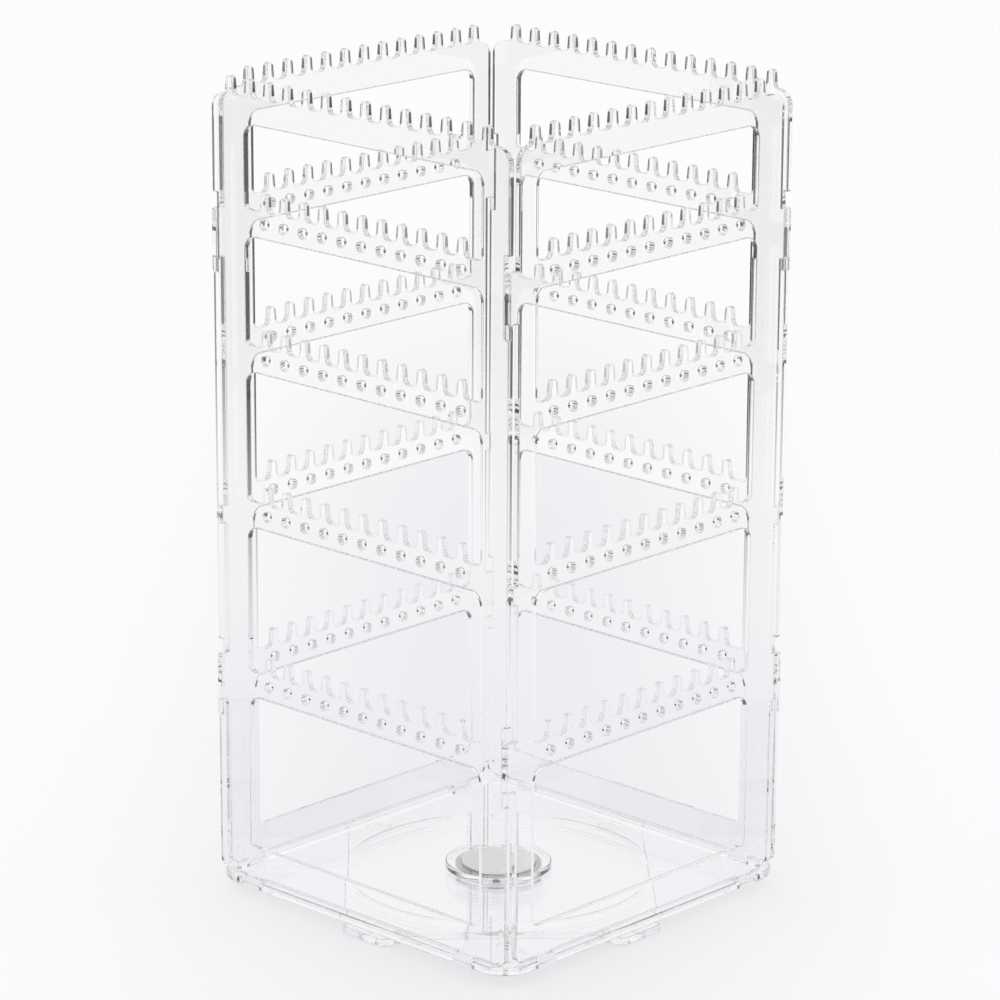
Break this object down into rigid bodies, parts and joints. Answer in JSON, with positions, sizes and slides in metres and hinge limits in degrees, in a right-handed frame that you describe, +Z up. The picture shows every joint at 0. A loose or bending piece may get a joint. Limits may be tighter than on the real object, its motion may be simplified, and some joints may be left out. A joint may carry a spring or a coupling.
{
  "type": "rotating jewelry stand",
  "caption": "Square tower of clear toothed and perforated panels that hook together at the corners and stand on a turning tray with a cross-shaped foot plate.",
  "frame": {"origin": "on the table, under the axis that the tray turns about", "axes": "+Z up along that axis, front panel facing -Y, right panel facing +X"},
  "size_m": [0.158, 0.158, 0.3185],
  "materials": {
    "clear_plastic": "clear, polished",
    "cap_plastic": "clear, polished",
    "glide_plastic": "matt, natural white",
    "pad_rubber": "matt, translucent",
    "screw_steel": "zinc plated"
  },
  "bodies": {
    "base": {"foot_plate": "clear_plastic", "glide_ring": "glide_plastic", "pad_front": "pad_rubber", "pad_right": "pad_rubber", "pad_back": "pad_rubber", "pad_left": "pad_rubber"},
    "turntable": {"tray": "clear_plastic", "hub_cap": "cap_plastic", "pivot_screw": "screw_steel", "pivot_washer": "screw_steel", "panel_front": "clear_plastic", "panel_back": "clear_plastic"},
    "right_wall": {"panel_right": "clear_plastic"},
    "left_wall": {"panel_left": "clear_plastic"}
  },
  "joints": [
    {"name": "turntable_spin", "type": "hinge", "parent": "base", "child": "turntable", "pos_m": [0, 0, 0], "axis": [0, 0, 1], "continuous": true},
    {"name": "right_wall_lift", "type": "slide", "parent": "turntable", "child": "right_wall", "axis": [0, 0, 1], "range_m": [0, 0.0055]},
    {"name": "left_wall_lift", "type": "slide", "parent": "turntable", "child": "left_wall", "axis": [0, 0, 1], "range_m": [0, 0.0055]}
  ]
}
